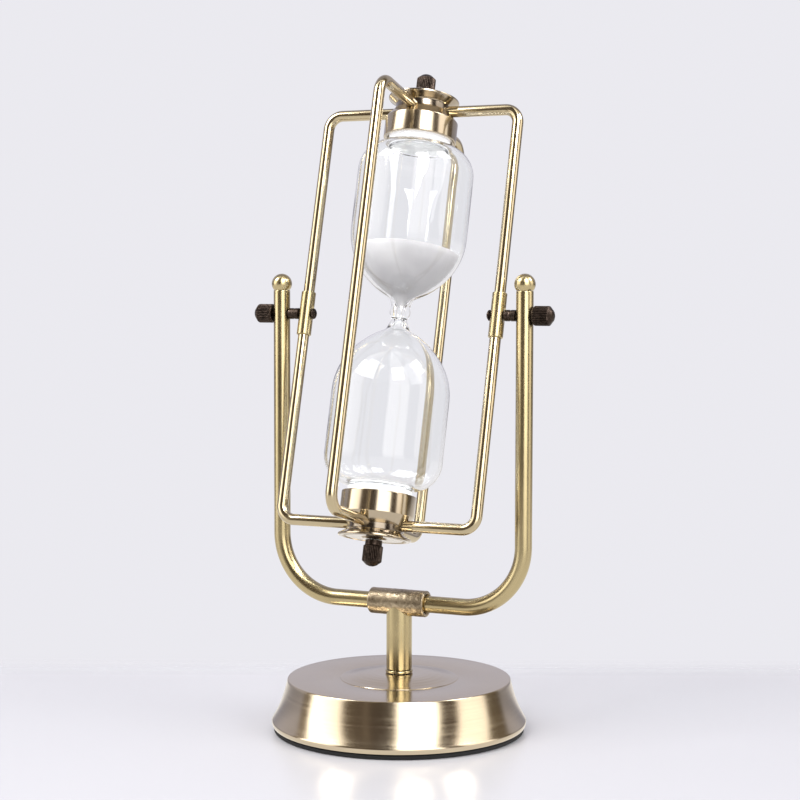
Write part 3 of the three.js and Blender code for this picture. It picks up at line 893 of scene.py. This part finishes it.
def knurled_nut(name, low, high, collar):
    """A thumb nut along Z: a plain collar, a straight-knurled grip and a blunt cone."""
    hole_end = low + NUT_HOLE_DEPTH
    knurl_low = low + collar + 0.4 * MM
    knurl_high = high - NUT_CONE_HEIGHT
    collar_radius = NUT_RADIUS - 0.6 * MM
    outline = rounded(
        [
            (0, hole_end, 0),
            (SCREW_HOLE_RADIUS, hole_end, 0),
            (SCREW_HOLE_RADIUS, low, 0),
            (collar_radius, low, 0.15 * MM),
            (collar_radius, low + collar, 0.1 * MM),
            (NUT_RADIUS, knurl_low, 0.25 * MM),
            (NUT_RADIUS, knurl_high, 0.45 * MM),
            (2.3 * MM, high - 0.5 * MM, 1.2 * MM),
            (1.0 * MM, high, 0.5 * MM),
            (0, high, 0),
        ]
    )
    outline = split_long(outline, 0.35 * MM)

    def tooth(angle, z):
        inside = min(z - knurl_low + 0.35 * MM, knurl_high + 0.45 * MM - z) / (0.45 * MM)
        fade = max(0.0, min(1.0, inside))
        ridge = abs(math.sin(NUT_TEETH * angle / 2))
        return 1 - TOOTH_DEPTH * fade * (1 - ridge) ** 1.2

    return turned(name, outline, segments=NUT_TEETH * 8, flute=tooth)


def pivot_sleeve():
    """A sleeve over the ends of two rods, with a flat seat filed on each side for the screw."""
    low, high = local_box("right_pivot_sleeve", CAGE)
    bore = ROD_RADIUS + 0.1 * MM
    outline = rounded(
        [
            (bore, low.z, 0.1 * MM),
            (SLEEVE_RADIUS, low.z, 0.35 * MM),
            (SLEEVE_RADIUS, high.z, 0.35 * MM),
            (bore, high.z, 0.1 * MM),
        ],
        closed=True,
    )
    outline = split_long(outline + outline[:1], 0.4 * MM)[:-1]

    def seat(vertex):
        reach = math.hypot(vertex.y, vertex.z)
        if reach > FLAT_REACH:
            return vertex
        limit = SLEEVE_RADIUS - FLAT_DEPTH * min(1.0, (FLAT_REACH - reach) / (0.5 * MM))
        return Vector((max(-limit, min(limit, vertex.x)), vertex.y, vertex.z))

    return turned("pivot_sleeve_fine", outline, closed=True, warp=seat)


for side in ("left", "right"):
    place = pivot_place(side)
    stand_in(side + "_pivot_screw", pivot_screw(), place)
    stand_in(side + "_spacer", spacer(), place)
    nut_low, nut_high = local_box(side + "_thumb_nut", place)
    nut = knurled_nut("thumb_nut_fine", nut_low.z, nut_high.z, collar=0.3 * MM)
    stand_in(side + "_thumb_nut", nut, place)
    sleeve_low, sleeve_high = local_box(side + "_pivot_sleeve", side_place(side))
    sleeve_x = (sleeve_low.x + sleeve_high.x) / 2
    place = side_place(side) @ Matrix.Translation((sleeve_x, 0, 0))
    stand_in(side + "_pivot_sleeve", pivot_sleeve(), place)

# ------------------------------------------------------------------------------------------
# Cage rods.

HALF_ROD_BEND_RADIUS = 6.3 * MM
FULL_ROD_BEND_RADIUS = 7.6 * MM
HUB_RADIUS = hub_high.x
ROD_X = sleeve_x
ROD_START = HUB_RADIUS - 0.2 * MM


def rod(name, lowest):
    """A rod from the hub out and down to lowest, and back in to the other hub if that is as low."""
    corners = [(ROD_START, RODS_Z), (ROD_X, RODS_Z), (ROD_X, lowest)]
    bend_radius = HALF_ROD_BEND_RADIUS
    if lowest == -RODS_Z:
        corners.append((ROD_START, -RODS_Z))
        bend_radius = FULL_ROD_BEND_RADIUS
    path = bent_path(corners, bend_radius, degrees_per_step=4)
    return swept(name, path, ROD_RADIUS, sides=48)


for side in ("left", "right"):
    for half, turn in (("upper", ORIGIN), ("lower", HALF_TURN)):
        mesh = rod("half_rod_fine", SCREW_HOLE_RADIUS + GAP)
        stand_in(f"{side}_{half}_rod", mesh, side_place(side) @ turn)
for side in ("front", "back"):
    stand_in(side + "_rod", rod("full_rod_fine", -RODS_Z), side_place(side))

# ------------------------------------------------------------------------------------------
# Caps. Local z = 0 is the rods' plane and +Z points away from the glass.

GLASS_RADIUS = 26 * MM
GLASS_WALL = 1.2 * MM
GLASS_NECK_RADIUS = 13.2 * MM
GLASS_END_Z = 84.7 * MM
SHOULDER_Z = 65 * MM
SHOULDER_RADIUS = GLASS_RADIUS - GLASS_NECK_RADIUS
HUB_HALF = hub_high.z - RODS_Z
CUP_RADIUS = 16.4 * MM
CUP_BORE_RADIUS = 14.6 * MM
CUP_RIM = -13.4 * MM
CUP_FLOOR = -5.9 * MM
CUP_CHAMFER_FROM = 4.2 * MM
FLANGE_RADIUS = 16 * MM
FLANGE_FACE = 6.3 * MM
BOSS_FACE = 6.6 * MM


def hub():
    """The neck that the rods run into."""
    corners = [
        (SCREW_HOLE_RADIUS, -HUB_HALF, 0),
        (HUB_RADIUS, -HUB_HALF, 0.2 * MM),
        (HUB_RADIUS, HUB_HALF, 0.2 * MM),
        (SCREW_HOLE_RADIUS, HUB_HALF, 0),
    ]
    return ring("hub_fine", corners, segments=128)


def cup():
    """A turned cup over the end of the glass. Its chamfered shoulder is notched round each rod."""
    recess = HUB_RADIUS + 0.1 * MM
    corners = [
        (SCREW_HOLE_RADIUS, -HUB_HALF - 0.1 * MM, 0),
        (recess, -HUB_HALF - 0.1 * MM, 0),
        (recess, 0.25 * MM, 0.1 * MM),
        (recess + 0.3 * MM, 0.2 * MM, 0.15 * MM),
        (CUP_RADIUS, -CUP_CHAMFER_FROM, 0.5 * MM),
        (CUP_RADIUS, CUP_RIM, 0.5 * MM),
        (CUP_BORE_RADIUS, CUP_RIM, 0.5 * MM),
        (CUP_BORE_RADIUS, CUP_FLOOR, 0.6 * MM),
        (SCREW_HOLE_RADIUS, CUP_FLOOR, 0),
    ]
    mesh = ring("cup_fine", corners, segments=192, steps=8)
    radius, reach = ROD_RADIUS + 0.12 * MM, CUP_RADIUS + 1 * MM
    bar = [(0, HUB_RADIUS), (radius, HUB_RADIUS), (radius, reach), (0, reach)]
    for quarter in range(4):
        notch = turned("notch", bar, segments=48)
        notch.transform(Matrix.Rotation(quarter * math.pi / 2, 4, "Z") @ ALONG_X)
        mesh = carved(mesh, notch)
    return mesh


def flange():
    """A flared disc with a thin rolled rim, a turned groove and a low boss round the screw."""
    bottom = HUB_HALF + 0.05 * MM
    groove = FLANGE_FACE - 0.6 * MM
    corners = [
        (SCREW_HOLE_RADIUS, bottom, 0),
        (HUB_RADIUS, bottom, 0),
        (HUB_RADIUS + 0.3 * MM, bottom + 0.4 * MM, 0.6 * MM),
        (FLANGE_RADIUS, FLANGE_FACE - 1.0 * MM, 0.3 * MM),
        (FLANGE_RADIUS, FLANGE_FACE - 0.3 * MM, 0.2 * MM),
        (FLANGE_RADIUS - 0.5 * MM, FLANGE_FACE, 0.25 * MM),
        (14.2 * MM, FLANGE_FACE, 0.2 * MM),
        (13.8 * MM, groove, 0.2 * MM),
        (12.8 * MM, groove, 0.2 * MM),
        (12.4 * MM, FLANGE_FACE - 0.1 * MM, 0.2 * MM),
        (6.0 * MM, FLANGE_FACE - 0.3 * MM, 0.4 * MM),
        (5.0 * MM, BOSS_FACE, 0.3 * MM),
        (SCREW_HOLE_RADIUS, BOSS_FACE, 0),
    ]
    return ring("flange_fine", corners, segments=192)


def end_pad():
    """Foam on the glass's end, with a skirt round its neck that shows below the cup's lip."""
    low, high = local_box("top_pad", CAPS["top"])
    inside, outside = 3.6 * MM, high.x
    glass_end = GLASS_END_Z - RODS_Z + 0.05 * MM
    skirt = GLASS_NECK_RADIUS + 0.1 * MM
    corners = [
        (inside, glass_end, 0.3 * MM),
        (skirt, glass_end, 0),
        (skirt, low.z, 0.2 * MM),
        (outside, low.z, 0.25 * MM),
        (outside, high.z, 0.5 * MM),
        (inside, high.z, 0.3 * MM),
    ]
    return ring("end_pad_fine", corners, segments=96)


for end, place in CAPS.items():
    # Painted shade darkens these parts: most the hub, in the recess under the flange, then the
    # flange, least the cup.
    stand_in(end + "_hub", with_painted_shade(hub(), 0.85), place)
    stand_in(end + "_cup", with_painted_shade(cup(), 0.3), place)
    stand_in(end + "_flange", with_painted_shade(flange(), 0.45), place)
    stand_in(end + "_pad", end_pad(), place)
    nut_low, nut_high = local_box(end + "_cap_nut", place)
    nut = knurled_nut("cap_nut_fine", nut_low.z, nut_high.z, collar=2.2 * MM)
    stand_in(end + "_cap_nut", nut, place)

# ------------------------------------------------------------------------------------------
# Glass and sand.

DOME_TOP_Z = 37 * MM
THROAT_RADIUS = 7.2 * MM
THROAT_Z = 8.4 * MM
FILL_HOLE_RADIUS = 3 * MM
SAND_TOP_Z = 28.5 * MM
SAND_DIP = 5 * MM
SAND_REACH = 22 * MM
DRIFT_HEIGHT = 1 * MM
WAIST_RADIUS = 4.4 * MM
WAIST_HALF = 4.4 * MM
WAIST_RIPPLE = 0.2 * MM
WAIST_PINCH = 4.5
ORIFICE_RADIUS = 1.3 * MM
GLASS_NODES = ("upper_bulb", "lower_bulb")


def bulb_curve(inset, start):
    """Half of the glass's outline, from the waist to the foot of its neck, moved in by inset."""
    radius = GLASS_RADIUS - inset
    neck = GLASS_NECK_RADIUS - inset
    shoulder = SHOULDER_RADIUS - inset
    throat = (THROAT_RADIUS - 0.85 * inset, THROAT_Z + 0.42 * inset)
    funnel = bezier(
        start,
        (start[0] + 0.2 * MM + 0.6 * inset, start[1] + 2 * MM),
        (throat[0] - 1.6 * MM, throat[1] - 0.8 * MM),
        throat,
        steps=14,
    )
    dome = bezier(
        throat,
        (throat[0] + 7 * MM, throat[1] + 3.5 * MM + 0.4 * inset),
        (radius, 21.5 * MM + 0.4 * inset),
        (radius, DOME_TOP_Z),
        steps=36,
    )
    top = arc(GLASS_NECK_RADIUS, SHOULDER_Z, shoulder, 0, 84, steps=24)
    foot = bezier(
        top[-1],
        (neck + 0.5 * MM, SHOULDER_Z + shoulder - 0.02 * MM),
        (neck, SHOULDER_Z + shoulder + 0.1 * MM),
        (neck, SHOULDER_Z + shoulder + 0.8 * MM),
        steps=6,
    )
    return funnel + dome[1:] + top + foot[1:]


def flipped(outline):
    """The outline upside down, and run the other way."""
    return [(r, -z) for r, z in reversed(outline)]


def waist_waves(points):
    """Uneven thick glass where the waist was worked in the flame, narrowest below its middle."""
    waves = []
    for r, z in points:
        height = z / MM
        ripple = WAIST_RIPPLE * math.exp(-((height / 7.5) ** 2)) * math.sin(height / 0.85 + 0.8)
        pinch = WAIST_RIPPLE * WAIST_PINCH * math.exp(-(((height + 2.6) / 1.8) ** 2))
        waves.append((r + ripple - pinch, z))
    return waves


def glass_neck(radius, end, last):
    """The neck's outline up to its flat end, which runs in to last."""
    return rounded([(radius, GLASS_END_Z - 6 * MM, 0), (radius, end, 0.9 * MM), (last, end, 0)])


def glass():
    """One blown piece: its outside from the bottom end up, then its inside from the top down. The
    upper end has the filling hole, and the inside wall joins the outside there."""
    end, inner_end = GLASS_END_Z, GLASS_END_Z - GLASS_WALL
    outside_half = bulb_curve(0, (WAIST_RADIUS, WAIST_HALF))
    neck = glass_neck(GLASS_NECK_RADIUS, end, FILL_HOLE_RADIUS)
    closed_neck = [*neck[:-1], (0, end)]
    inside_half = bulb_curve(GLASS_WALL, (ORIFICE_RADIUS, 2.2 * MM))
    inner_neck = glass_neck(GLASS_NECK_RADIUS - GLASS_WALL, inner_end, 0)
    # From 4 mm below the middle to 4 mm above it, every quarter of a millimetre.
    middle = [(WAIST_RADIUS, (i / 4 - 4) * MM) for i in range(33)]
    outside = flipped(closed_neck) + flipped(outside_half) + middle + outside_half + neck
    inside = flipped(inner_neck) + flipped(inside_half) + inside_half + inner_neck[:-1]
    inside.append((FILL_HOLE_RADIUS, inner_end))
    outline = waist_waves(outside) + list(reversed(inside))
    return turned("glass_fine", outline, segments=160)


def sand():
    """Sand that fills the upper funnel, with its surface drawn down towards the middle."""
    inner_wall = bulb_curve(GLASS_WALL + GAP, (1.0 * MM, 2.5 * MM))
    wall = [(r, z) for r, z in inner_wall if z < SAND_TOP_Z - 0.6 * MM]
    rim_r = wall[-1][0]
    rings = 48
    surface = []
    for i in range(1, rings + 1):
        inward = i / rings
        r = (rim_r + 0.4 * MM) * (1 - inward)
        z = SAND_TOP_Z - SAND_DIP * smooth_step(inward * 1.05 - 0.02)
        surface.append((r, z))
    top = [(rim_r + 0.3 * MM, SAND_TOP_Z - 0.1 * MM)] + surface
    outline = [(0, wall[0][1])] + wall + top
    return turned("sand_fine", outline, segments=160, warp=drifts)


def smooth_step(t):
    """0 up to t = 0 and 1 from t = 1, with a smooth step between them."""
    t = max(0.0, min(1.0, t))
    return t * t * (3 - 2 * t)


def drifts(vertex):
    """Small drifts and slips on the sand's surface, fading out towards the glass."""
    reach = math.hypot(vertex.x, vertex.y)
    if vertex.z < SAND_TOP_Z - SAND_DIP - 1.5 * MM or vertex.z < 18 * MM:
        return vertex
    fade = smooth_step((SAND_REACH - reach) / (6 * MM))
    flat = Vector((vertex.x, vertex.y, 0))
    height = 0.5 * noise.noise(flat / (6 * MM)) + 0.15 * noise.noise(flat / (1.6 * MM))
    return vertex + Vector((0, 0, DRIFT_HEIGHT * height * fade))


glass_piece = linked("glass_fine", glass(), CAGE)
glass_piece.data.materials.append(MATERIALS["clear_glass"])
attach(glass_piece, NODES["sand"]["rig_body"])
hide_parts(*GLASS_NODES)
stand_in("sand", sand(), CAGE)

# ------------------------------------------------------------------------------------------
# Studio: a pale table top, a banded surround that only reflections see, and soft boxes.

TABLE_RADIUS = 0.62
TABLE_DEPTH = 0.13
TABLE_DROP = 0.0002
BACKDROP = (0.83, 0.823, 0.868)
LIGHT_TARGET = Vector((0, 0, 0.15))
WINDOW_UP = 44
WINDOW_DISTANCE = 1.2
# The camera's bearing, in degrees to the right of the front, that bands, lights and table go by.
CAMERA_AZIMUTH = 24.35
CAMERA_BEARING = math.radians(CAMERA_AZIMUTH - 90)
# The camera itself: angles in radians, place in metres, lens in millimetres.
CAMERA_YAW = 0.42493
CAMERA_PITCH = 0.06374
CAMERA_ROLL = 0.00186
CAMERA_PLACE = (0.33456, -0.73894, 0.19944)
CAMERA_LENS = 82.3
CAMERA_SENSOR = 36
# What the brass mirrors, as (degrees to the right of the camera, colour).
BANDS = [
    (-180, (0.60, 0.58, 0.66)),
    (-112, (0.56, 0.54, 0.60)),
    (-107, (0.26, 0.20, 0.14)),
    (-99, (0.26, 0.20, 0.14)),
    (-96, (3.8, 3.7, 3.5)),
    (-62, (2.2, 2.1, 1.95)),
    (-56, (0.17, 0.13, 0.09)),
    (-37, (0.13, 0.10, 0.075)),
    (-33, (0.27, 0.22, 0.17)),
    (-29, (0.11, 0.085, 0.065)),
    (-4, (0.08, 0.06, 0.045)),
    (1, (4.0, 3.9, 3.75)),
    (38, (3.6, 3.5, 3.3)),
    (42, (0.11, 0.08, 0.06)),
    (59, (0.11, 0.08, 0.06)),
    (63, (2.2, 2.05, 1.9)),
    (93, (2.0, 1.9, 1.75)),
    (98, (0.19, 0.15, 0.105)),
    (117, (0.19, 0.15, 0.105)),
    (122, (0.54, 0.52, 0.57)),
    (180, (0.60, 0.58, 0.66)),
]
# How much those bands are dimmed with height, as (sine of the elevation, factor).
HEIGHTS = [(0.0, 0.62), (0.06, 0.75), (0.16, 1.0), (0.62, 1.0), (0.78, 0.7), (1.0, 0.7)]
# Below the horizon the bands give way to the table, as (sine of the depression, share of it).
TABLE_SHARE = [(0.06, 0.0), (0.15, 0.85), (0.4, 1.0)]
TABLE_LIGHT = (1.05, 1.01, 0.96)


def floor():
    """A round table top a hair below the pad, which mirrored rays don't see."""
    rings = [TABLE_RADIUS, 0.45, 0.3, 0.15, 0.05, 0]
    mesh = turned("floor", [(r, -TABLE_DROP) for r in rings])
    piece = linked("floor", mesh)
    azimuth = math.radians(CAMERA_AZIMUTH)
    away = (-math.sin(azimuth), math.cos(azimuth), 0)
    mesh.materials.append(table_finish("table_top", away, TABLE_DEPTH))
    piece.visible_glossy = False


def studio_world():
    """A plain pale backdrop. Mirrored rays outside the glass see the bands instead, and below the
    horizon the light of the table."""
    world = bpy.data.worlds.new("studio")
    bpy.context.scene.world = world
    world.use_nodes = True
    nodes = NodeTree(world.node_tree)
    nodes.tree.nodes.clear()
    ray = nodes.add("ShaderNodeTexCoord", "Generated")
    x, y, z = nodes.add("ShaderNodeSeparateXYZ", Vector=ray).node.outputs
    bearing = nodes.math("SUBTRACT", nodes.math("ARCTAN2", y, x), CAMERA_BEARING)
    turns = nodes.math("DIVIDE", nodes.math("WRAP", bearing, math.pi, -math.pi), 2 * math.pi)
    band_stops = [(degrees / 360 + 0.5, colour) for degrees, colour in BANDS]
    bands = nodes.ramp(nodes.math("ADD", turns, 0.5), band_stops)
    heights = nodes.ramp(z, HEIGHTS)
    table = nodes.ramp(nodes.math("MULTIPLY", z, -1.0), TABLE_SHARE)
    boxes = nodes.blend(1.0, bands, heights, "MULTIPLY")
    surround = nodes.blend(table, boxes, TABLE_LIGHT)
    glossy_depth = nodes.add("ShaderNodeLightPath", "Glossy Depth")
    glass_depth = glossy_depth.node.outputs["Transmission Depth"]
    glossy = nodes.math("GREATER_THAN", glossy_depth, 0.5)
    outside_glass = nodes.math("LESS_THAN", glass_depth, 0.5)
    mirrored = nodes.math("MULTIPLY", glossy, outside_glass)
    seen = nodes.blend(mirrored, BACKDROP, surround)
    output = nodes.tree.nodes.new("ShaderNodeOutputWorld")
    nodes.feed(output.inputs["Surface"], nodes.add("ShaderNodeBackground", Color=seen))


def soft_box(name, right, up, distance, width, height, power, mirrored=False):
    """An area light aimed at the middle of the object. It stands right degrees to the right of the
    camera and up degrees high. A mirrored box shows in reflections and lights nothing matt, and the
    others are never reflected."""
    light = bpy.data.lights.new(name, "AREA")
    light.shape = "RECTANGLE"
    light.size = width
    light.size_y = height
    light.energy = power
    piece = linked(name, light)
    bearing = math.radians(CAMERA_AZIMUTH - 90 + right)
    tilt = math.radians(up)
    level = math.cos(tilt)
    away = Vector((level * math.cos(bearing), level * math.sin(bearing), math.sin(tilt)))
    piece.location = LIGHT_TARGET + away * distance
    piece.rotation_euler = away.to_track_quat("Z", "Y").to_euler()
    piece.visible_camera = False
    piece.visible_glossy = mirrored
    piece.visible_diffuse = not mirrored


def camera():
    """A long lens from the right of the front, a little above the middle of the object."""
    data = bpy.data.cameras.new("camera")
    data.sensor_width = CAMERA_SENSOR
    data.lens = CAMERA_LENS
    data.clip_start = 0.01
    data.clip_end = 30
    level = math.cos(CAMERA_PITCH)
    back = Vector(
        (math.sin(CAMERA_YAW) * level, -math.cos(CAMERA_YAW) * level, math.sin(CAMERA_PITCH))
    )
    right = Vector((math.cos(CAMERA_YAW), math.sin(CAMERA_YAW), 0))
    axes = Matrix((right, back.cross(right), back)).transposed()
    turn = (axes @ Matrix.Rotation(CAMERA_ROLL, 3, "Z")).to_4x4()
    piece = linked("camera", data, Matrix.Translation(CAMERA_PLACE) @ turn)
    bpy.context.scene.camera = piece


floor()
studio_world()
soft_box("key", right=-55, up=50, distance=1.6, width=0.9, height=0.9, power=20)
soft_box("fill", right=60, up=40, distance=1.8, width=0.9, height=1.2, power=12)
for name, right, width, height, power in (
    ("window_left", -80, 0.42, 0.42, 6),
    ("window_front", 18, 0.42, 0.46, 9),
    ("window_right", 78, 0.38, 0.42, 6),
):
    soft_box(name, right, WINDOW_UP, WINDOW_DISTANCE, width, height, power, mirrored=True)
camera()
bpy.context.scene.view_settings.view_transform = "Standard"
